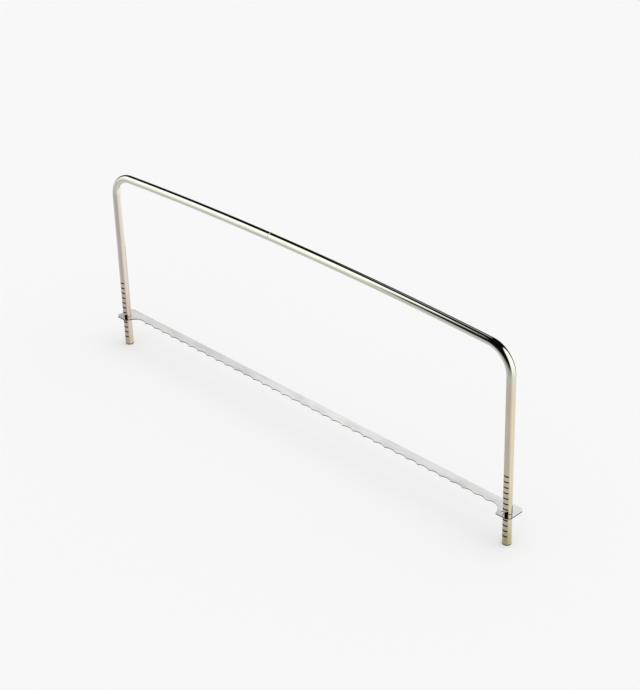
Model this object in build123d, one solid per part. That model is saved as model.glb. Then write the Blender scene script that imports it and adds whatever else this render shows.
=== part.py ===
from build123d import *
import os
from math import asin, atan, cos, hypot, sin, sqrt

# Cake leveler: a thin serrated blade that climbs the notched legs of a U-shaped tube frame.
# Millimetres, +Z up, X along the frame, the cutting edge towards -Y.
# The origin lies on the table, midway between the two feet, in the plane of the leg axes.

# Frame
leg_spacing = 455.0
frame_height = 180.7
bar_bow = 5.3
bend_radius = 22.0
tube_diameter = 7.4
tube_wall = 1.0

# Joint between the two halves of the frame
seam_offset = -28.0
seam_chamfer = 0.2
rim_overrun = 1.0
spigot_length = 40.0
spigot_chamfer = 0.5
spigot_fit = 0.02

# Foot plugs
plug_flange = 1.0
plug_shank = 5.5
plug_edge_radius = 0.4
plug_chamfer = 0.6
plug_fit = 0.02

# Notches sawn across the front of each leg
notch_count = 12
notch_pitch = 5.0
lowest_notch = 8.5
notch_height = 1.2
notch_depth = 1.2
saw_overrun = 1.0
rest_notch = 4

# Blade
blade_thickness = 0.8
blade_back = 11.7
cusp_line = 1.45
scallop_pitch = 12.0
scallop_depth = 1.9
bevel_width = 0.5
bevel_depth = 0.2
bevel_overrun = 0.1

# End plates of the blade, measured from the leg axis
plate_outer_reach = 7.3
plate_front_reach = 7.2
plate_tip_reach = 6.0
plate_throat_width = 5.5
plate_throat_hollow = 0.7
plate_corner_cut = 2.8
plate_corner_radius = 0.6
hole_play = 0.25
hole_corner_radius = 1.2
punch_overrun = 1.0

# Sizes worked out from the values above
half_spacing = leg_spacing / 2
tube_radius = tube_diameter / 2
bore_radius = tube_radius - tube_wall
bar_axis_top = frame_height - tube_radius
rest_height = lowest_notch + rest_notch * notch_pitch
scallop_count = round((leg_spacing - 2 * (plate_tip_reach + plate_throat_width)) / scallop_pitch)
scallop_radius = (scallop_pitch**2 / 4 + scallop_depth**2) / (2 * scallop_depth)
scallop_root = cusp_line + scallop_depth

# The bar is one long arc, tangent to both bends.
bar_end_slope = 2 * atan(bar_bow / (half_spacing - bend_radius))
bar_end_x = half_spacing - bend_radius * (1 - sin(bar_end_slope))
bar_radius = bar_end_x / sin(bar_end_slope)
bend_centre_z = bar_axis_top - bar_radius * (1 - cos(bar_end_slope)) - bend_radius * cos(bar_end_slope)


def bar_point(x):
    """The point of the bar's axis above the place x."""
    drop = bar_radius - sqrt(bar_radius**2 - x**2)
    return Vector(x, 0, bar_axis_top - drop)


def bar_arc(start_x, end_x):
    """The bar's axis between two places."""
    middle = (start_x + end_x) / 2
    return ThreePointArc(bar_point(start_x), bar_point(middle), bar_point(end_x))


def bend_point(side, turn_share):
    """A point of the bend's axis, from the leg at share 0 to the bar at share 1."""
    quarter = asin(1.0)
    turn = turn_share * (quarter - bar_end_slope)
    x = half_spacing - bend_radius + bend_radius * cos(turn)
    return Vector(side * x, 0, bend_centre_z + bend_radius * sin(turn))


def half_path(side):
    """The axis of one half of the frame: foot, leg, bend, and bar up to the seam."""
    foot = Vector(side * half_spacing, 0, plug_flange)
    leg = Line(foot, bend_point(side, 0))
    bend = ThreePointArc(bend_point(side, 0), bend_point(side, 0.5), bend_point(side, 1))
    bar = bar_arc(side * bar_end_x, seam_offset)
    return Wire([leg.edge(), bend.edge(), bar.edge()])


def round_along(path, radius):
    """A round bar of the given radius along a path."""
    start = Plane(origin=path @ 0, z_dir=path % 0)
    return sweep(start * Circle(radius), path=path)


def notch_heights():
    """The heights of the notches' middles, from the lowest up."""
    return [lowest_notch + step * notch_pitch for step in range(notch_count)]


def saw_cut(side, height):
    """What one saw cut takes off the front of a leg."""
    reach = notch_depth + saw_overrun
    cut = Box(tube_diameter + 2 * saw_overrun, reach, notch_height)
    front = -tube_radius + notch_depth - reach / 2
    return Pos(side * half_spacing, front, height) * cut


def broken_rim(path, share, radius, size):
    """What breaks the sharp rim of a round bar at the start (share 0) or end (share 1) of its path."""
    outwards = path % share if share else -(path % share)
    length = size + 2 * rim_overrun
    wide_end = radius + rim_overrun
    ring = Cylinder(wide_end + rim_overrun, length) - Cone(wide_end, wide_end - length, length)
    return Plane(origin=path @ share, z_dir=outwards) * Pos(0, 0, rim_overrun - length / 2) * ring


def frame_half(side):
    """One bent tube with its twelve notches and a broken edge at the seam."""
    path = half_path(side)
    tube = round_along(path, tube_radius) - round_along(path, bore_radius)
    tube -= [saw_cut(side, height) for height in notch_heights()]
    return tube - broken_rim(path, 1, tube_radius, seam_chamfer)


def bar_spigot():
    """The pin inside the bar that the two halves push onto."""
    path = Wire([bar_arc(seam_offset - spigot_length / 2, seam_offset + spigot_length / 2).edge()])
    radius = bore_radius - spigot_fit
    return round_along(path, radius) - [broken_rim(path, end, radius, spigot_chamfer) for end in (0, 1)]


def foot_plug(side):
    """A plug whose flange is the foot and whose shank fills the end of the leg."""
    flange = Cylinder(tube_radius, plug_flange, align=(Align.CENTER, Align.CENTER, Align.MIN))
    flange = fillet(flange.edges().group_by(Axis.Z)[0], plug_edge_radius)
    shank = Cylinder(bore_radius - plug_fit, plug_shank, align=(Align.CENTER, Align.CENTER, Align.MIN))
    shank = chamfer(shank.edges().group_by(Axis.Z)[-1], plug_chamfer)
    return Pos(side * half_spacing, 0, 0) * (flange + Pos(0, 0, plug_flange) * shank)


def cusp_x(number):
    """The place of a cusp along the blade, numbered from the left."""
    return (number - scallop_count / 2) * scallop_pitch


def throat(side):
    """The hollow edge from the last cusp out to the front tip of an end plate."""
    cusp = Vector(side * cusp_x(scallop_count), cusp_line)
    tip = Vector(side * (half_spacing - plate_tip_reach), -plate_front_reach)
    run = tip - cusp
    square = Vector(side * -run.Y, side * run.X) / hypot(run.X, run.Y)
    middle = (cusp + tip) / 2 + square * plate_throat_hollow
    return cusp, middle, tip


def plate_corners(side):
    """The outer corners of an end plate, from its front tip round to the back edge."""
    end = half_spacing + plate_outer_reach
    cut = plate_corner_cut
    front = [Vector(side * (end - cut), -plate_front_reach), Vector(side * end, -plate_front_reach + cut)]
    back = [Vector(side * end, blade_back - cut), Vector(side * (end - cut), blade_back)]
    return front + back


def blade_outline():
    """The outline of the whole blade, seen from above."""
    edges = []
    for number in range(scallop_count):
        start = Vector(cusp_x(number), cusp_line)
        root = Vector(cusp_x(number + 0.5), scallop_root)
        end = Vector(cusp_x(number + 1), cusp_line)
        edges.append(ThreePointArc(start, root, end).edge())
    for side in (-1, 1):
        cusp, middle, tip = throat(side)
        edges.append(ThreePointArc(cusp, middle, tip).edge())
        corners = [tip] + plate_corners(side)
        edges += [Line(a, b).edge() for a, b in zip(corners, corners[1:])]
    edges.append(Line(plate_corners(-1)[-1], plate_corners(1)[-1]).edge())
    return Wire(edges)


def ground_bevel(number):
    """What the grinding wheel takes off the underside of one scallop."""
    depth = bevel_depth + 2 * bevel_overrun
    middle = scallop_radius + bevel_width / 2
    spread = depth * bevel_width / bevel_depth / 2
    height = (bevel_depth - blade_thickness) / 2
    wheel = Pos(0, scallop_root - scallop_radius, height) * Cone(middle + spread, middle - spread, depth)
    cell = Box(scallop_pitch, 4 * scallop_radius, 2 * blade_thickness)
    return Pos(cusp_x(number + 0.5), 0, 0) * (wheel & cell)


def leg_hole(side):
    """The hole round a leg: round behind, and straight at the front, where its lip enters a notch."""
    radius = tube_radius + hole_play
    straight = RectangleRounded(2 * radius, 2 * radius, hole_corner_radius)
    front_half = straight & (Pos(0, -radius) * Rectangle(4 * radius, 2 * radius))
    shape = Circle(radius) + front_half
    cutter = extrude(shape, blade_thickness + punch_overrun, both=True)
    return Pos(side * half_spacing, 0, 0) * cutter


def blade():
    """The blade at the height that it rests at, with its two end plates."""
    plate = extrude(make_face(blade_outline()), blade_thickness / 2, both=True)
    inside_plates = half_spacing - plate_tip_reach - plate_corner_radius
    corners = plate.edges().filter_by(Axis.Z).filter_by(lambda edge: abs(edge.center().X) > inside_plates)
    plate = fillet(corners, plate_corner_radius)
    plate -= [ground_bevel(number) for number in range(scallop_count)]
    plate -= [leg_hole(side) for side in (-1, 1)]
    return Pos(0, 0, rest_height) * plate


def main():
    """Builds every piece and writes one file for each."""
    pieces = {
        "frame_left": frame_half(-1),
        "frame_right": frame_half(1),
        "bar_spigot": bar_spigot(),
        "foot_plug_left": foot_plug(-1),
        "foot_plug_right": foot_plug(1),
        "blade": blade(),
    }
    os.makedirs("parts", exist_ok=True)
    for name, piece in pieces.items():
        piece.label = name
        export_step(piece, f"parts/{name}.step")
        print(name, round(piece.volume, 1))


main()
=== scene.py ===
import math
import bmesh
import bpy
from mathutils import Matrix, Vector


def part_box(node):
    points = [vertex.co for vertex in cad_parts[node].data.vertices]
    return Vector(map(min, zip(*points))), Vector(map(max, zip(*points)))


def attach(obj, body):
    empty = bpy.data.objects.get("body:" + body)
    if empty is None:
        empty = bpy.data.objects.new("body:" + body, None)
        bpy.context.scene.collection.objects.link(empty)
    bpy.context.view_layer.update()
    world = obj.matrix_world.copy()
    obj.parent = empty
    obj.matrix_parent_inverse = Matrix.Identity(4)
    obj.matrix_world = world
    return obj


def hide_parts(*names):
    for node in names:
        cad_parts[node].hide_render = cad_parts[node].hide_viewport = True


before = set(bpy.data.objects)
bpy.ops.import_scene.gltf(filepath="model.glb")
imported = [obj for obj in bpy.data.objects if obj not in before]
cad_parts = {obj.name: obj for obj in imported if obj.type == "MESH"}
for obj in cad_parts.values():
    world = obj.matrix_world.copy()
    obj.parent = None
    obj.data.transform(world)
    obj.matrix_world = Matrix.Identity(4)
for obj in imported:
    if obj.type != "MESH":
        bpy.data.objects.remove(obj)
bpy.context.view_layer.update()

MM = 0.001

# Sizes read from the frame, in metres. The plugs stand in the legs, so they give the legs' places.
foot_low, foot_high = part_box("foot_plug_right")
right_low, right_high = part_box("frame_right")
blade_low, blade_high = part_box("blade")
half_spacing = (foot_low.x + foot_high.x) / 2
tube_radius = (foot_high.x - foot_low.x) / 2
leg_bottom = right_low.z
seam_x = right_low.x
bar_axis_top = right_high.z - tube_radius

# Tube
tube_wall = 1.0 * MM
bar_bow = 5.3 * MM
bend_radius = 22.0 * MM
seam_chamfer = 0.2 * MM
bore_overrun = 1.0 * MM
bar_step = 4.0 * MM
bend_steps = 40
tube_facets = 96
bore_facets = 48
tube_crisp_angle = 30.0

# Saw cuts across the front of each leg
notch_count = 12
notch_pitch = 5.0 * MM
lowest_notch = 8.5 * MM
notch_height = 1.2 * MM
notch_depth = 1.2 * MM
saw_overrun = 1.0 * MM
top_of_notches = lowest_notch + notch_count * notch_pitch

# Blade
blade_back = blade_high.y
cusp_line = 1.45 * MM
scallop_count = 36
scallop_pitch = 12.0 * MM
scallop_depth = 1.9 * MM
scallop_steps = 12
merge_distance = 0.002 * MM
bevel_width = 0.5 * MM
bevel_depth = 0.2 * MM
plate_front = blade_low.y
plate_tip_reach = 6.0 * MM
plate_throat_hollow = 0.7 * MM
plate_corner_cut = 2.8 * MM
plate_corner_radius = 0.6 * MM
corner_steps = 5
hole_play = 0.25 * MM
hole_corner_radius = 1.2 * MM
hole_steps = 32
blade_crisp_angle = 25.0

# The bar is one long arc, tangent to both bends.
bar_end_slope = 2 * math.atan(bar_bow / (half_spacing - bend_radius))
bar_end_x = half_spacing - bend_radius * (1 - math.sin(bar_end_slope))
bar_radius = bar_end_x / math.sin(bar_end_slope)
bar_centre_z = bar_axis_top - bar_radius
bend_centre_z = bar_centre_z + (bar_radius - bend_radius) * math.cos(bar_end_slope)
bend_centre_x = half_spacing - bend_radius
bend_turn = math.pi / 2 - bar_end_slope

# Camera, from the solved view of the photograph
camera_azimuth = math.radians(46.34)
camera_elevation = math.radians(29.95)
camera_roll = math.radians(-1.73)
camera_distance = 1539.6 * MM
camera_target = Vector((25.95, 0.0, 97.10)) * MM
camera_lens = 98.99
sensor_long_side = 36.0
camera_sees_to = 20.0

# Colours of the finishes
nickel_clean = "DEDED3"
# Painted reflection and painted shade on the legs: each tier makes them warmer and darker towards the feet,
# with a tone for each leg.
nickel_painted_shading = (  # left leg, right leg, whole below this height, gone above this height
    ("E5DCCF", "E3D7C1", 132 * MM, 154 * MM),
    ("DBCCBB", "D7CFB3", 38 * MM, 66 * MM),
    ("D2C2A8", "D0C49C", 3 * MM, 20 * MM),
)
nickel_haze = "8C8474"
nickel_haze_share = 0.16
sawn_steel = "4A4640"
steel_clean = "D6D6D5"
steel_hazed = "CDCCCB"
# Dark tone of the blade's sideways-facing walls: partly sheared steel, partly painted shade.
sheared_edge_and_shade = "3A3733"
pin_steel = "BDBDBA"
pin_oil = "9C9A94"
plug_black = "0D0D0D"
plug_rubbed = "1E1D1C"
pale_tone = "F8F8F8"
white_tone = "FFFFFF"

# Grains of the finishes: how long they are along the piece, and how wide across it both ways
nickel_draw_lines = (60 * MM, 0.25 * MM, 0.25 * MM)
nickel_patches = (22 * MM, 9 * MM, 9 * MM)
nickel_ripples = (45 * MM, 4 * MM, 4 * MM)
nickel_nicks = (7 * MM, 2 * MM, 2 * MM)
steel_grain = (30 * MM, 0.2 * MM, 0.2 * MM)
steel_scratches = (90 * MM, 0.9 * MM, 0.9 * MM)
steel_patches = (26 * MM, 8 * MM, 8 * MM)
pin_patches = (6 * MM, 3 * MM, 3 * MM)
plug_grain = (0.25 * MM, 0.25 * MM, 0.25 * MM)
plug_patches = (2.5 * MM, 2.5 * MM, 2.5 * MM)
grain_detail = 3.0
patch_detail = 4.0
ripple_detail = 1.0
scratch_detail = 2.0
pin_ring_size = 6.0 * MM
pin_ring_waver = 0.4
pin_ring_detail = 1.0

# Depths of the fine relief
draw_line_depth = 0.001 * MM
ripple_depth = 0.008 * MM
nick_depth = 0.004 * MM
steel_grain_depth = 0.0012 * MM
steel_scratch_depth = 0.001 * MM
pin_ring_depth = 0.004 * MM
plug_grain_depth = 0.02 * MM

# Where each mark starts and where it is whole, in the values of its pattern or in metres
nick_range = (0.10, 0.04)
nickel_haze_range = (0.35, 0.75)
sawn_range = (0.05 * MM, 0.12 * MM)
sawn_fade = 1 * MM
middle_fade = 1 * MM
wall_range = (0.85, 0.55)
steel_scratch_range = (0.66, 0.72)
steel_haze_range = (0.3, 0.75)
pin_oil_range = (0.3, 0.7)
plug_rubbed_range = (0.5, 0.8)
plug_sheen_range = (0.4, 0.8)

# Roughness from clean to worn, and what nicks, scratches, saw cuts and sheared walls add to it
nickel_rough = (0.03, 0.10)
nick_rough = 0.10
sawn_rough = 0.35
steel_rough = (0.07, 0.16)
steel_scratch_rough = 0.05
sheared_rough = 0.30
pin_rough = (0.22, 0.36)
plug_rough = (0.6, 0.4)
plug_specular = 0.2
plug_ior = 1.5

# Studio. Angles are in degrees to the right of the camera's direction, seen from above.
# Each panel: its middle's angle, its left, right, bottom and top edges as they would be at one metre, how
# much it leans, its softness, its brightness, and the share of that brightness at its foot.
studio_panels = (
    (60.0, -1.19, 1.5, -4.0, 2.05, 0.0, 0.14, 1.43, 0.95),
    (-110.0, -0.45, 0.51, -2.0, 1.26, 0.05, 0.08, 1.50, 0.72),
    (-110.0, -0.55, 0.85, -3.0, 0.02, 0.0, 0.20, 0.80, 1.0),
    (180.0, -0.80, 0.60, -1.0, 0.33, 0.0, 0.25, 0.22, 1.0),
    (180.0, -0.16, 0.22, 0.85, 1.45, 0.0, 0.30, 0.55, 1.0),
)
studio_dark_level = 0.004
panel_corner_power = 2.3
panel_side_fade = 0.05
smallest_divisor = 0.001
panel_fade_bottom = -8.0
panel_fade_top = 32.0
table_starts_at = 5.0
table_full_at = -36.0
table_dark_angle = 150.0
table_dark_within = 22.0
table_dark_beyond = 45.0
table_dark_starts_at = -14.0
table_dim_angle = -70.0
table_dim_within = 45.0
table_bright_beyond = 115.0
table_dim_level = 0.62
table_bright_level = 0.98
table_steep_from = -30.0
table_steep_to = -52.0
table_steep_gain = 1.27
soft_light_level = 0.973
soft_light_angle = 60.0
soft_light_tilt = 0.4
floor_glow_share = 0.3
floor_reach = 4.0
lamp_strength = 0.12
lamp_spread = 35.0
lamp_angle = 75.0
lamp_height = 45.0
foot_shade_reach = 50 * MM
foot_shade_levels = {-1: 1.0, 1: 0.76}
board_distance = 200 * MM
board_left = -600 * MM
board_right = 130 * MM
board_soft_side = 40 * MM
board_height = 230 * MM
board_soft_edge = 14 * MM
board_left_level = 1.08
board_right_level = 1.14
board_bright_level = 0.17
board_bright_from = (-320 * MM, -210 * MM)
board_bright_to = (-110 * MM, -70 * MM)


def colour(code):
    """A colour written as sRGB hex, turned to linear."""
    parts = [int(code[i:i + 2], 16) / 255 for i in (0, 2, 4)]
    return [c / 12.92 if c <= 0.04045 else ((c + 0.055) / 1.055) ** 2.4 for c in parts] + [1.0]


def node(tree, kind, inputs=None, **settings):
    """Adds a node with its settings. Each input is a value or the output that feeds it."""
    made = tree.nodes.new(kind)
    for name, value in settings.items():
        setattr(made, name, value)
    for key, value in (inputs or {}).items():
        if isinstance(value, bpy.types.NodeSocket):
            tree.links.new(value, made.inputs[key])
        else:
            made.inputs[key].default_value = value
    return made


def maths(tree, operation, first, second=0.0, third=0.0):
    """The result of one step of arithmetic."""
    return node(tree, "ShaderNodeMath", {0: first, 1: second, 2: third}, operation=operation).outputs[0]


def ramp_between(tree, value, start, end, low=0.0, high=1.0):
    """A smooth change from low to high as the value goes from start to end."""
    inputs = {"Value": value, "From Min": start, "From Max": end, "To Min": low, "To Max": high}
    return node(tree, "ShaderNodeMapRange", inputs, interpolation_type="SMOOTHSTEP").outputs["Result"]


def new_material(name):
    """An empty node material and its tree."""
    made = bpy.data.materials.new(name)
    made.use_nodes = True
    made.node_tree.nodes.clear()
    return made, made.node_tree


def finish_material(tree, shader):
    """Joins a shader to the material's output."""
    node(tree, "ShaderNodeOutputMaterial", {"Surface": shader.outputs[0]})


def relief(tree, height):
    """The shading normal of a surface with this height in metres."""
    return node(tree, "ShaderNodeBump", {"Height": height, "Strength": 1.0, "Distance": 1.0}).outputs[0]


def finish_metal(tree, tone, rough, height):
    """Joins a metal surface to the material's output."""
    shader = node(tree, "ShaderNodeBsdfPrincipled", {
        "Base Color": tone,
        "Metallic": 1.0,
        "Roughness": rough,
        "Normal": relief(tree, height),
    })
    finish_material(tree, shader)


# Metals and plastics

def in_grains(tree, place, grains):
    """A place counted in grains along each axis."""
    scales = [1 / grain for grain in grains]
    return node(tree, "ShaderNodeMapping", {"Vector": place, "Scale": scales}).outputs[0]


def stretched_noise(tree, place, grains, detail):
    """Noise with its own grain size along each axis, in metres."""
    inputs = {"Vector": in_grains(tree, place, grains), "Scale": 1.0, "Detail": detail}
    return node(tree, "ShaderNodeTexNoise", inputs).outputs["Fac"]


def mixed_colour(tree, factor, first, second):
    """A colour between two, by a factor from 0 to 1."""
    inputs = {"Factor": factor, "A": first, "B": second}
    return node(tree, "ShaderNodeMix", inputs, data_type="RGBA").outputs["Result"]


def bright_nickel_plate():
    """Bright nickel on drawn steel tube: a warm mirror with fine draw lines along the tube, haze in patches,
    legs painted warmer and darker towards the feet, a tone for each leg, as painted reflection of the table
    and painted shade near the feet, small nicks, and dark bare steel in the saw cuts."""
    made, tree = new_material("bright_nickel_plate")
    along = node(tree, "ShaderNodeAttribute", attribute_name="straightened").outputs["Vector"]
    place = node(tree, "ShaderNodeTexCoord").outputs["Object"]
    draw_lines = stretched_noise(tree, along, nickel_draw_lines, grain_detail)
    haze = stretched_noise(tree, along, nickel_patches, patch_detail)
    ripple = stretched_noise(tree, along, nickel_ripples, ripple_detail)
    nick_place = in_grains(tree, along, nickel_nicks)
    nicks = node(tree, "ShaderNodeTexVoronoi", {"Vector": nick_place, "Scale": 1.0, "Randomness": 1.0})
    nick = ramp_between(tree, nicks.outputs["Distance"], *nick_range)
    straight = node(tree, "ShaderNodeSeparateXYZ", {0: along}).outputs
    squares = [maths(tree, "POWER", straight[axis], 2.0) for axis in ("Y", "Z")]
    radius = maths(tree, "SQRT", maths(tree, "ADD", *squares))
    bare = ramp_between(tree, radius, *[tube_radius - depth for depth in sawn_range])
    notched = ramp_between(tree, straight["X"], top_of_notches + sawn_fade, top_of_notches)
    bare = maths(tree, "MULTIPLY", bare, notched)
    across = node(tree, "ShaderNodeSeparateXYZ", {0: place}).outputs["X"]
    on_right = ramp_between(tree, across, -middle_fade, middle_fade)
    plated = colour(nickel_clean)
    # Painted shade and painted warm reflection: the legs grow darker and warmer towards the feet.
    for left_code, right_code, whole_below, gone_above in nickel_painted_shading:
        painted_shade_tone = mixed_colour(tree, on_right, colour(left_code), colour(right_code))
        painted_shade_share = ramp_between(tree, straight["X"], gone_above, whole_below)
        plated = mixed_colour(tree, painted_shade_share, plated, painted_shade_tone)
    haze_share = maths(tree, "MULTIPLY", haze, nickel_haze_share)
    plated = mixed_colour(tree, haze_share, plated, colour(nickel_haze))
    tone = mixed_colour(tree, bare, plated, colour(sawn_steel))
    rough = ramp_between(tree, haze, *nickel_haze_range, *nickel_rough)
    rough = maths(tree, "MULTIPLY_ADD", nick, nick_rough, rough)
    rough = maths(tree, "MULTIPLY_ADD", bare, sawn_rough, rough)
    height = maths(tree, "MULTIPLY", draw_lines, draw_line_depth)
    height = maths(tree, "MULTIPLY_ADD", ripple, ripple_depth, height)
    height = maths(tree, "MULTIPLY_ADD", nick, -nick_depth, height)
    finish_metal(tree, tone, rough, height)
    return made


def polished_stainless_sheet():
    """Rolled stainless sheet, polished: neutral and close to a mirror, with a fine grain along the blade,
    a few longer polishing scratches, and duller walls where the sheet was sheared and ground, whose dark tone
    is partly the sheared steel and partly painted shade."""
    made, tree = new_material("polished_stainless_sheet")
    coordinates = node(tree, "ShaderNodeTexCoord").outputs
    place = coordinates["Object"]
    facing = node(tree, "ShaderNodeSeparateXYZ", {0: coordinates["Normal"]}).outputs["Z"]
    wall = ramp_between(tree, maths(tree, "ABSOLUTE", facing), *wall_range)
    grain = stretched_noise(tree, place, steel_grain, grain_detail)
    polish = stretched_noise(tree, place, steel_scratches, scratch_detail)
    haze = stretched_noise(tree, place, steel_patches, patch_detail)
    scratch = ramp_between(tree, polish, *steel_scratch_range)
    tone = mixed_colour(tree, haze, colour(steel_clean), colour(steel_hazed))
    # Partly painted shade: every wall that faces sideways gets the dark tone.
    tone = mixed_colour(tree, wall, tone, colour(sheared_edge_and_shade))
    rough = ramp_between(tree, haze, *steel_haze_range, *steel_rough)
    rough = maths(tree, "MULTIPLY_ADD", scratch, steel_scratch_rough, rough)
    rough = maths(tree, "MULTIPLY_ADD", wall, sheared_rough, rough)
    height = maths(tree, "MULTIPLY", grain, steel_grain_depth)
    height = maths(tree, "MULTIPLY_ADD", scratch, -steel_scratch_depth, height)
    finish_metal(tree, tone, rough, height)
    return made


def turned_steel():
    """Turned steel pin, hidden in the bar: fine tool rings round it and a light film of oil."""
    made, tree = new_material("turned_steel")
    place = node(tree, "ShaderNodeTexCoord").outputs["Object"]
    rings = node(tree, "ShaderNodeTexWave", {
        "Vector": place,
        "Scale": 1 / pin_ring_size,
        "Distortion": pin_ring_waver,
        "Detail": pin_ring_detail,
    }, bands_direction="X")
    film = stretched_noise(tree, place, pin_patches, grain_detail)
    tone = mixed_colour(tree, film, colour(pin_steel), colour(pin_oil))
    rough = ramp_between(tree, film, *pin_oil_range, *pin_rough)
    finish_metal(tree, tone, rough, maths(tree, "MULTIPLY", rings.outputs["Fac"], pin_ring_depth))
    return made


def moulded_polythene():
    """Black moulded polythene, for the plugs: a soft sheen, a fine spark-eroded grain and rubbed spots."""
    made, tree = new_material("moulded_polythene")
    place = node(tree, "ShaderNodeTexCoord").outputs["Object"]
    grain = stretched_noise(tree, place, plug_grain, grain_detail)
    rubbed = stretched_noise(tree, place, plug_patches, patch_detail)
    rubbed_share = ramp_between(tree, rubbed, *plug_rubbed_range)
    shader = node(tree, "ShaderNodeBsdfPrincipled", {
        "Base Color": mixed_colour(tree, rubbed_share, colour(plug_black), colour(plug_rubbed)),
        "Roughness": ramp_between(tree, rubbed, *plug_sheen_range, *plug_rough),
        "Specular IOR Level": plug_specular,
        "IOR": plug_ior,
        "Normal": relief(tree, maths(tree, "MULTIPLY", grain, plug_grain_depth)),
    })
    finish_material(tree, shader)
    return made


# Studio

def heading(angle):
    """The level direction that lies this many degrees to the right of the camera's own."""
    turned = camera_azimuth - math.pi / 2 + math.radians(angle)
    return Vector((math.cos(turned), math.sin(turned), 0.0))


def along_axis(tree, direction, axis):
    """How far a direction goes along an axis."""
    product = node(tree, "ShaderNodeVectorMath", {0: direction, 1: axis}, operation="DOT_PRODUCT")
    return product.outputs["Value"]


def panel_mask(tree, direction, ahead_angle, left, right, bottom, top, lean, soft):
    """Where an upright panel with round corners shows. Its edges are as they would be at one metre away."""
    ahead = along_axis(tree, direction, heading(ahead_angle))
    safe = maths(tree, "MAXIMUM", ahead, smallest_divisor)
    across = maths(tree, "DIVIDE", along_axis(tree, direction, heading(ahead_angle + 90)), safe)
    up = maths(tree, "DIVIDE", along_axis(tree, direction, Vector((0, 0, 1))), safe)
    up = maths(tree, "MULTIPLY_ADD", across, lean, up)
    terms = []
    for value, start, end in ((across, left, right), (up, bottom, top)):
        off_middle = maths(tree, "SUBTRACT", value, (start + end) / 2)
        share = maths(tree, "ABSOLUTE", maths(tree, "DIVIDE", off_middle, (end - start) / 2))
        terms.append(maths(tree, "POWER", share, panel_corner_power))
    reach = maths(tree, "POWER", maths(tree, "ADD", terms[0], terms[1]), 1 / panel_corner_power)
    inside = ramp_between(tree, reach, 1 + soft, 1 - soft)
    return maths(tree, "MULTIPLY", inside, ramp_between(tree, ahead, 0.0, panel_side_fade))


def height_of(angle):
    """How far up a direction goes at this many degrees above the horizon."""
    return math.sin(math.radians(angle))


def nearness(angle):
    """How near a heading this many degrees off counts as, from 1 down to -1."""
    return math.cos(math.radians(angle))


def studio_level(tree, direction):
    """How bright the studio is in each direction: softboxes, dark gaps between them, and the table below."""
    height = along_axis(tree, direction, Vector((0, 0, 1)))
    level = studio_dark_level
    for ahead_angle, left, right, bottom, top, lean, soft, strength, foot_share in studio_panels:
        mask = panel_mask(tree, direction, ahead_angle, left, right, bottom, top, lean, soft)
        shine = ramp_between(tree, height, height_of(panel_fade_bottom), height_of(panel_fade_top),
                             strength * foot_share, strength)
        level = maths(tree, "MAXIMUM", maths(tree, "MULTIPLY", mask, shine), level)
    flat = maths(tree, "SQRT", maths(tree, "SUBTRACT", 1.0, maths(tree, "POWER", height, 2.0)))
    flat = maths(tree, "MAXIMUM", flat, smallest_divisor)
    to_dim = maths(tree, "DIVIDE", along_axis(tree, direction, heading(table_dim_angle)), flat)
    table = ramp_between(tree, to_dim, nearness(table_dim_within), nearness(table_bright_beyond),
                         table_dim_level, table_bright_level)
    steep = ramp_between(tree, height, height_of(table_steep_from), height_of(table_steep_to))
    table = maths(tree, "MULTIPLY", table, maths(tree, "MULTIPLY_ADD", steep, table_steep_gain - 1, 1.0))
    to_dark = maths(tree, "DIVIDE", along_axis(tree, direction, heading(table_dark_angle)), flat)
    starts = ramp_between(tree, to_dark, nearness(table_dark_beyond), nearness(table_dark_within),
                          height_of(table_starts_at), height_of(table_dark_starts_at))
    below = ramp_between(tree, height, starts, height_of(table_full_at))
    mixed = node(tree, "ShaderNodeMix", {"Factor": below, "A": level, "B": table}, data_type="FLOAT")
    return mixed.outputs["Result"]


def studio_world():
    """Pale all round for the eye and for soft light; in reflections, the studio."""
    world = bpy.data.worlds.new("studio")
    world.use_nodes = True
    tree = world.node_tree
    tree.nodes.clear()
    direction = node(tree, "ShaderNodeTexCoord").outputs["Generated"]
    level = studio_level(tree, direction)
    mirrored = node(tree, "ShaderNodeBackground", {"Color": colour(white_tone), "Strength": level})
    lit_side = along_axis(tree, direction, heading(soft_light_angle))
    soft_light = maths(tree, "MULTIPLY_ADD", lit_side, soft_light_level * soft_light_tilt, soft_light_level)
    plain = node(tree, "ShaderNodeBackground", {"Color": colour(white_tone), "Strength": soft_light})
    pale = node(tree, "ShaderNodeBackground", {"Color": colour(pale_tone), "Strength": 1.0})
    path = node(tree, "ShaderNodeLightPath").outputs
    lit = node(tree, "ShaderNodeMixShader", {
        0: path["Is Glossy Ray"], 1: plain.outputs[0], 2: mirrored.outputs[0]})
    shown = node(tree, "ShaderNodeMixShader", {
        0: path["Is Camera Ray"], 1: lit.outputs[0], 2: pale.outputs[0]})
    node(tree, "ShaderNodeOutputWorld", {"Surface": shown.outputs[0]})
    bpy.context.scene.world = world


def flat_sheet(name, corners, material):
    """A flat four-cornered piece of the studio."""
    mesh = bpy.data.meshes.new(name)
    mesh.from_pydata(corners, [], [(0, 1, 2, 3)])
    mesh.materials.append(material)
    made = bpy.data.objects.new(name, mesh)
    bpy.context.collection.objects.link(made)
    return made


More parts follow.
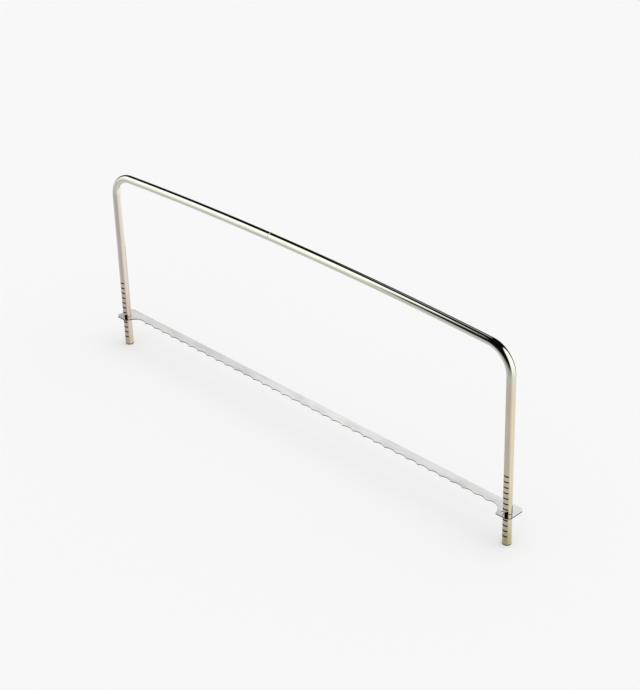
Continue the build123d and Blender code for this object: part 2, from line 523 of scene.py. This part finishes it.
def backdrop_board():
    """A low white board behind the blade, which the metal mirrors and the eye doesn't see."""
    paint, tree = new_material("white_board")
    place = node(tree, "ShaderNodeTexCoord").outputs["Object"]
    split = node(tree, "ShaderNodeSeparateXYZ", {0: place}).outputs
    brightest = board_left_level + board_bright_level
    level = ramp_between(tree, split["X"], *board_bright_from, board_left_level, brightest)
    drop = ramp_between(tree, split["X"], *board_bright_to, 0.0, brightest - board_right_level)
    level = maths(tree, "SUBTRACT", level, drop)
    light = node(tree, "ShaderNodeEmission", {"Color": colour(white_tone), "Strength": level})
    clear = node(tree, "ShaderNodeBsdfTransparent")
    top_edge = ramp_between(tree, split["Z"], board_height - board_soft_edge, board_height)
    side_edge = ramp_between(tree, split["X"], board_right - board_soft_side, board_right)
    edge = maths(tree, "MAXIMUM", top_edge, side_edge)
    shader = node(tree, "ShaderNodeMixShader", {0: edge, 1: light.outputs[0], 2: clear.outputs[0]})
    finish_material(tree, shader)
    y, z = board_distance, board_height
    corners = [(board_left, y, 0), (board_right, y, 0), (board_right, y, z), (board_left, y, z)]
    board = flat_sheet("white_board", corners, paint)
    board.visible_camera = False
    board.visible_diffuse = False
    board.visible_shadow = False
    board.visible_transmission = False


def floor():
    """The pale table, which keeps the shadows. The metal sees the table of the studio's world instead."""
    paint, tree = new_material("pale_table")
    matt = node(tree, "ShaderNodeBsdfDiffuse", {"Color": colour(pale_tone)})
    glow = node(tree, "ShaderNodeEmission", {"Color": colour(pale_tone)})
    shader = node(tree, "ShaderNodeMixShader", {0: floor_glow_share, 1: matt.outputs[0], 2: glow.outputs[0]})
    finish_material(tree, shader)
    signs = ((-1, -1), (1, -1), (1, 1), (-1, 1))
    made = flat_sheet("floor", [(x * floor_reach, y * floor_reach, 0) for x, y in signs], paint)
    made.visible_glossy = False


def foot_shade(side):
    """The shade that a leg casts on the table round its foot, which only the metal sees."""
    shade, tree = new_material("foot_shade")
    place = node(tree, "ShaderNodeTexCoord").outputs["Object"]
    foot = (side * half_spacing, 0.0, 0.0)
    from_foot = node(tree, "ShaderNodeVectorMath", {0: place, 1: foot}, operation="DISTANCE")
    level = ramp_between(tree, from_foot.outputs["Value"], tube_radius, foot_shade_reach,
                         foot_shade_levels[side], 1.0)
    shader = node(tree, "ShaderNodeBsdfTransparent", {"Color": level})
    finish_material(tree, shader)
    low, high, y = foot[0] - foot_shade_reach, foot[0] + foot_shade_reach, foot_shade_reach
    made = flat_sheet("foot_shade", [(low, -y, 0), (high, -y, 0), (high, y, 0), (low, y, 0)], shade)
    made.visible_camera = False
    made.visible_diffuse = False
    made.visible_shadow = False


def lamp():
    """One broad soft light from the right, for the shadows."""
    data = bpy.data.lights.new("soft_light", "SUN")
    data.energy = lamp_strength
    data.angle = math.radians(lamp_spread)
    made = bpy.data.objects.new("soft_light", data)
    height = math.radians(lamp_height)
    towards = heading(lamp_angle) * math.cos(height) + Vector((0, 0, math.sin(height)))
    made.rotation_euler = towards.to_track_quat("Z", "Y").to_euler()
    made.visible_glossy = False
    bpy.context.collection.objects.link(made)


def camera():
    """The photograph's viewpoint."""
    data = bpy.data.cameras.new("camera")
    data.lens = camera_lens
    data.sensor_width = sensor_long_side
    data.sensor_fit = "AUTO"
    data.clip_end = camera_sees_to
    made = bpy.data.objects.new("camera", data)
    back = Vector((math.sin(camera_azimuth), -math.cos(camera_azimuth), 0.0)) * math.cos(camera_elevation)
    back.z = math.sin(camera_elevation)
    right = (-back).cross(Vector((0, 0, 1))).normalized()
    up = right.cross(-back)
    turned = right * math.cos(camera_roll) + up * math.sin(camera_roll)
    upright = up * math.cos(camera_roll) - right * math.sin(camera_roll)
    turn = Matrix((turned, upright, back)).transposed()
    made.matrix_world = Matrix.Translation(camera_target + back * camera_distance) @ turn.to_4x4()
    bpy.context.collection.objects.link(made)
    bpy.context.scene.camera = made


# Shapes

def geometry_tree(name, sizes):
    """An empty geometry tree with a mesh input and named inputs for its sizes, and its input node."""
    tree = bpy.data.node_groups.new(name, "GeometryNodeTree")
    tree.interface.new_socket("Geometry", in_out="INPUT", socket_type="NodeSocketGeometry")
    for label, kind in sizes:
        tree.interface.new_socket(label, in_out="INPUT", socket_type="NodeSocket" + kind)
    tree.interface.new_socket("Geometry", in_out="OUTPUT", socket_type="NodeSocketGeometry")
    return tree, node(tree, "NodeGroupInput").outputs


def run_tree(tree, start_mesh, name, values):
    """Runs a geometry tree on a mesh and gives its result as a plain object."""
    seed = bpy.data.objects.new(name + "_start", start_mesh)
    bpy.context.collection.objects.link(seed)
    modifier = seed.modifiers.new("shape", "NODES")
    modifier.node_group = tree
    for item in tree.interface.items_tree:
        if item.in_out == "INPUT" and item.name in values:
            modifier[item.identifier] = values[item.name]
    evaluated = seed.evaluated_get(bpy.context.evaluated_depsgraph_get())
    mesh = bpy.data.meshes.new_from_object(evaluated)
    bpy.data.objects.remove(seed)
    made = bpy.data.objects.new(name, mesh)
    bpy.context.collection.objects.link(made)
    return made


def notched_tube_tree():
    """Bends a tube along a path, bores it, and saws a row of notches across it."""
    tree, given = geometry_tree("notched_tube", [
        ("Tube radius", "Float"), ("Tube facets", "Int"), ("Bore radius", "Float"), ("Bore facets", "Int"),
        ("Notch count", "Int"), ("First notch", "Vector"), ("Notch step", "Vector"), ("Notch size", "Vector"),
        ("Finish", "Material"),
    ])
    past_end = node(tree, "GeometryNodeInputNamedAttribute", {"Name": "past_end"}, data_type="BOOLEAN")
    rim = node(tree, "GeometryNodeInputNamedAttribute", {"Name": "rim"}, data_type="FLOAT")
    kept = node(tree, "GeometryNodeDeleteGeometry", {0: given["Geometry"], 1: past_end.outputs["Attribute"]})
    line = node(tree, "GeometryNodeMeshToCurve", {0: kept.outputs[0]})
    circle = node(tree, "GeometryNodeCurvePrimitiveCircle", {
        "Resolution": given["Tube facets"],
        "Radius": given["Tube radius"],
    })
    outside = node(tree, "GeometryNodeCurveToMesh", {
        "Curve": line.outputs[0],
        "Profile Curve": circle.outputs[0],
        "Scale": rim.outputs["Attribute"],
        "Fill Caps": True,
    })
    bore_line = node(tree, "GeometryNodeMeshToCurve", {0: given["Geometry"]})
    bore_circle = node(tree, "GeometryNodeCurvePrimitiveCircle", {
        "Resolution": given["Bore facets"],
        "Radius": given["Bore radius"],
    })
    bore = node(tree, "GeometryNodeCurveToMesh", {
        "Curve": bore_line.outputs[0],
        "Profile Curve": bore_circle.outputs[0],
        "Fill Caps": True,
    })
    row = node(tree, "GeometryNodeMeshLine", {
        "Count": given["Notch count"],
        "Start Location": given["First notch"],
        "Offset": given["Notch step"],
    })
    saw = node(tree, "GeometryNodeMeshCube", {"Size": given["Notch size"]})
    cuts = node(tree, "GeometryNodeInstanceOnPoints", {"Points": row.outputs[0], "Instance": saw.outputs[0]})
    cuts = node(tree, "GeometryNodeRealizeInstances", {0: cuts.outputs[0]})
    cut = node(tree, "GeometryNodeMeshBoolean", {"Mesh 1": outside.outputs[0]},
               operation="DIFFERENCE", solver="EXACT")
    for tool in (bore, cuts):
        tree.links.new(tool.outputs[0], cut.inputs["Mesh 2"])
    painted = node(tree, "GeometryNodeSetMaterial", {"Geometry": cut.outputs[0], "Material": given["Finish"]})
    node(tree, "NodeGroupOutput", {0: painted.outputs[0]})
    return tree


def bar_z(x):
    """The height of the bar's axis at x."""
    return bar_centre_z + math.sqrt(bar_radius ** 2 - x ** 2)


def half_path(side):
    """Points along the axis of one half of the frame, from just below the foot to just past the seam, and the
    share of the tube's radius that its outside has at each."""
    between = [lowest_notch + (step - 0.5) * notch_pitch for step in range(notch_count + 1)]
    heights = [leg_bottom - bore_overrun, leg_bottom] + between
    points = [(side * half_spacing, z) for z in heights]
    for step in range(bend_steps):
        turn = bend_turn * step / bend_steps
        x = bend_centre_x + bend_radius * math.cos(turn)
        points.append((side * x, bend_centre_z + bend_radius * math.sin(turn)))
    start_x = side * bar_end_x
    to_seam = math.copysign(1, seam_x - start_x)
    steps = round(abs(seam_x - start_x) / bar_step)
    for step in range(steps):
        x = start_x + (seam_x - start_x) * step / steps
        points.append((x, bar_z(x)))
    chamfer_start = seam_x - to_seam * seam_chamfer
    points += [(chamfer_start, bar_z(chamfer_start)), (seam_x, bar_z(seam_x))]
    rims = [1.0] * (len(points) - 1) + [1 - seam_chamfer / tube_radius]
    past_seam = seam_x + to_seam * bore_overrun
    return points + [(past_seam, bar_z(past_seam))], rims + [1.0]


def path_mesh(side):
    """The path of one half as a mesh of edges, with the marks that its tree reads."""
    points, rims = half_path(side)
    mesh = bpy.data.meshes.new("half_path")
    edges = [(number, number + 1) for number in range(len(points) - 1)]
    mesh.from_pydata([(x, 0, z) for x, z in points], edges, [])
    marks = mesh.attributes.new("past_end", "BOOLEAN", "POINT")
    marks.data.foreach_set("value", [number in (0, len(points) - 1) for number in range(len(points))])
    shares = mesh.attributes.new("rim", "FLOAT", "POINT")
    shares.data.foreach_set("value", rims)
    return mesh


def straightened(place, side):
    """Where a point of the tube would be if the tube were straight: along it, and across it both ways."""
    x, z = side * place.x, place.z
    if z > bend_centre_z and x > bar_end_x:
        off_x, off_z = x - bend_centre_x, z - bend_centre_z
        along = bend_centre_z + bend_radius * math.atan2(off_z, off_x)
        return along, place.y, math.hypot(off_x, off_z) - bend_radius
    if z <= bend_centre_z:
        return z, place.y, x - half_spacing
    along = bend_centre_z + bend_radius * bend_turn + bar_end_x - x
    return along, place.y, z - bar_z(x)


def mark_straightened(mesh, side):
    """Stores each point's straightened place, which the draw lines of the tube follow."""
    marks = mesh.attributes.new("straightened", "FLOAT_VECTOR", "POINT")
    values = [part for vertex in mesh.vertices for part in straightened(vertex.co, side)]
    marks.data.foreach_set("vector", values)


def smooth_but_edges(mesh, angle):
    """Smooth shading, with every edge sharper than the angle left crisp."""
    mesh.shade_smooth()
    mesh.set_sharp_from_angle(angle=math.radians(angle))


def frame_half(name, side, tree, finish):
    """One half of the frame: a bent tube with its notches."""
    reach = notch_depth + saw_overrun
    front = -tube_radius + notch_depth - reach / 2
    made = run_tree(tree, path_mesh(side), name + "_tube", {
        "Tube radius": tube_radius,
        "Tube facets": tube_facets,
        "Bore radius": tube_radius - tube_wall,
        "Bore facets": bore_facets,
        "Notch count": notch_count,
        "First notch": (side * half_spacing, front, lowest_notch),
        "Notch step": (0.0, 0.0, notch_pitch),
        "Notch size": (2 * (tube_radius + saw_overrun), reach, notch_height),
        "Finish": finish,
    })
    mark_straightened(made.data, side)
    smooth_but_edges(made.data, tube_crisp_angle)
    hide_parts(name)
    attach(made, "frame")


def scallop_edge(x, extra=0.0):
    """How far back the edge of a scallop lies at x from its middle; extra widens the scallop's circle."""
    radius = ((scallop_pitch / 2) ** 2 + scallop_depth ** 2) / (2 * scallop_depth)
    centre = cusp_line + scallop_depth - radius
    return centre + math.sqrt((radius + extra) ** 2 - x ** 2)


def scallop_mesh():
    """One scallop's length of the blade, open at both ends: flat top, narrow front wall, bevel below."""
    shape = bmesh.new()
    top, low = blade_high.z, blade_low.z
    rows = []
    for step in range(scallop_steps + 1):
        x = scallop_pitch * (step / scallop_steps - 0.5)
        edge = scallop_edge(x)
        places = [(x, blade_back, top), (x, edge, top), (x, edge, low + bevel_depth),
                  (x, scallop_edge(x, bevel_width), low), (x, blade_back, low)]
        rows.append([shape.verts.new(place) for place in places])
    for here, there in zip(rows, rows[1:]):
        for number in range(len(here)):
            follows = (number + 1) % len(here)
            shape.faces.new((here[number], here[follows], there[follows], there[number]))
    mesh = bpy.data.meshes.new("scallop")
    shape.to_mesh(mesh)
    shape.free()
    return mesh


def scallop_row_tree():
    """Repeats one scallop along the blade and joins the row."""
    tree, given = geometry_tree("scallop_row", [
        ("Count", "Int"), ("First", "Vector"), ("Step", "Vector"), ("Joint", "Float"), ("Finish", "Material"),
    ])
    row = node(tree, "GeometryNodeMeshLine", {
        "Count": given["Count"],
        "Start Location": given["First"],
        "Offset": given["Step"],
    })
    cells = node(tree, "GeometryNodeInstanceOnPoints", {
        "Points": row.outputs[0],
        "Instance": given["Geometry"],
    })
    cells = node(tree, "GeometryNodeRealizeInstances", {0: cells.outputs[0]})
    joined = node(tree, "GeometryNodeMergeByDistance", {
        "Geometry": cells.outputs[0],
        "Distance": given["Joint"],
    })
    painted = node(tree, "GeometryNodeSetMaterial", {
        "Geometry": joined.outputs[0],
        "Material": given["Finish"],
    })
    node(tree, "NodeGroupOutput", {0: painted.outputs[0]})
    return tree


def arc_through(first, middle, last, steps):
    """Points of the arc through three points, without its ends."""
    ax, ay = middle[0] - first[0], middle[1] - first[1]
    bx, by = last[0] - first[0], last[1] - first[1]
    twice = 2 * (ax * by - ay * bx)
    cx = (by * (ax * ax + ay * ay) - ay * (bx * bx + by * by)) / twice
    cy = (ax * (bx * bx + by * by) - bx * (ax * ax + ay * ay)) / twice
    centre, radius = (first[0] + cx, first[1] + cy), math.hypot(cx, cy)
    start = math.atan2(first[1] - centre[1], first[0] - centre[0])
    end = math.atan2(last[1] - centre[1], last[0] - centre[0])
    turn = (end - start + math.pi) % (2 * math.pi) - math.pi
    angles = [start + turn * step / steps for step in range(1, steps)]
    return [(centre[0] + radius * math.cos(a), centre[1] + radius * math.sin(a)) for a in angles]


def rounded(corner, before, after):
    """The points that round one corner of an outline."""
    here = Vector(corner)
    back = Vector(before) - here
    ahead = Vector(after) - here
    half_angle = back.angle(ahead) / 2
    run = plate_corner_radius / math.tan(half_angle)
    inwards = (back.normalized() + ahead.normalized()).normalized()
    centre = here + inwards * plate_corner_radius / math.sin(half_angle)
    start = here + back.normalized() * run
    end = here + ahead.normalized() * run
    middle = centre + (here - centre).normalized() * plate_corner_radius
    first, last = tuple(start), tuple(end)
    return [first] + arc_through(first, tuple(middle), last, corner_steps) + [last]


def plate_outline():
    """The outline of the right end plate from above, from the last cusp round to the back of the blade."""
    cusp = (scallop_count / 2 * scallop_pitch, cusp_line)
    tip = (half_spacing - plate_tip_reach, plate_front)
    end, cut = blade_high.x, plate_corner_cut
    corners = [tip, (end - cut, plate_front), (end, plate_front + cut),
               (end, blade_back - cut), (end - cut, blade_back)]
    run = Vector(tip) - Vector(cusp)
    square = Vector((-run.y, run.x)).normalized()
    middle = (Vector(cusp) + Vector(tip)) / 2 + square * plate_throat_hollow
    throat = arc_through(cusp, tuple(middle), tip, scallop_steps)
    inner_back = (cusp[0], blade_back)
    points = [cusp] + throat
    for before, corner, after in zip([throat[-1]] + corners, corners, corners[1:] + [inner_back]):
        points += rounded(corner, before, after)
    return points + [inner_back]


def hole_outline():
    """The hole round the right leg: round behind, straight at the front with round corners."""
    radius = tube_radius + hole_play
    inset = radius - hole_corner_radius
    arcs = [((0.0, 0.0), radius, 0.0, math.pi),
            ((-inset, -inset), hole_corner_radius, math.pi, 1.5 * math.pi),
            ((inset, -inset), hole_corner_radius, 1.5 * math.pi, 2 * math.pi)]
    points = []
    for (x, y), size, start, end in arcs:
        angles = [start + (end - start) * step / hole_steps for step in range(hole_steps + 1)]
        points += [(half_spacing + x + size * math.cos(a), y + size * math.sin(a)) for a in angles]
    return points


def loop_edges(shape, points, z):
    """A closed loop of edges through the points at one height."""
    corners = [shape.verts.new((x, y, z)) for x, y in points]
    return [shape.edges.new((a, b)) for a, b in zip(corners, corners[1:] + corners[:1])]


def end_plate(shape, side):
    """Adds one end plate to the blade: both faces, its outer walls and the walls of its hole."""
    outline = [(side * x, y) for x, y in plate_outline()]
    hole = [(side * x, y) for x, y in hole_outline()]
    top, low = blade_high.z, blade_low.z
    cusp_x = side * scallop_count / 2 * scallop_pitch
    ground_edge = (cusp_x, scallop_edge(scallop_pitch / 2, bevel_width))
    for z, ring in ((top, outline), (low, outline + [ground_edge])):
        edges = loop_edges(shape, ring, z) + loop_edges(shape, hole, z)
        bmesh.ops.triangle_fill(shape, use_beauty=True, edges=edges)
    walls = list(zip(outline, outline[1:])) + list(zip(hole, hole[1:] + hole[:1]))
    for number, ((ax, ay), (bx, by)) in enumerate(walls):
        wall = [(ax, ay, top), (bx, by, top), (bx, by, low), (ax, ay, low)]
        if number == 0:
            wall.append((ax, ay, low + bevel_depth))
        shape.faces.new([shape.verts.new(place) for place in wall])
    grinding_end = [(cusp_x, cusp_line, low + bevel_depth), (cusp_x, cusp_line, low), (*ground_edge, low)]
    shape.faces.new([shape.verts.new(place) for place in grinding_end])


def blade(finish):
    """The whole blade: the row of scallops and its two end plates, one closed sheet."""
    first = -(scallop_count - 1) / 2 * scallop_pitch
    made = run_tree(scallop_row_tree(), scallop_mesh(), "scalloped_blade", {
        "Count": scallop_count,
        "First": (first, 0.0, 0.0),
        "Step": (scallop_pitch, 0.0, 0.0),
        "Joint": merge_distance,
        "Finish": finish,
    })
    shape = bmesh.new()
    shape.from_mesh(made.data)
    for side in (-1, 1):
        end_plate(shape, side)
    bmesh.ops.remove_doubles(shape, verts=shape.verts, dist=merge_distance)
    bmesh.ops.recalc_face_normals(shape, faces=shape.faces)
    for face in shape.faces:
        face.material_index = 0
    shape.to_mesh(made.data)
    shape.free()
    made.data.materials.clear()
    made.data.materials.append(finish)
    smooth_but_edges(made.data, blade_crisp_angle)
    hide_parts("blade")
    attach(made, "blade")


nickel = bright_nickel_plate()
steel = polished_stainless_sheet()
tube_tree = notched_tube_tree()
frame_half("frame_left", -1, tube_tree, nickel)
frame_half("frame_right", 1, tube_tree, nickel)
blade(steel)
kept_nodes = {
    "bar_spigot": turned_steel(),
    "foot_plug_left": moulded_polythene(),
    "foot_plug_right": moulded_polythene(),
}
for name, finish in kept_nodes.items():
    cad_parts[name].data.materials.clear()
    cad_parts[name].data.materials.append(finish)

studio_world()
backdrop_board()
floor()
for side in (-1, 1):
    foot_shade(side)
lamp()
camera()

bpy.context.scene.view_settings.view_transform = "Standard"
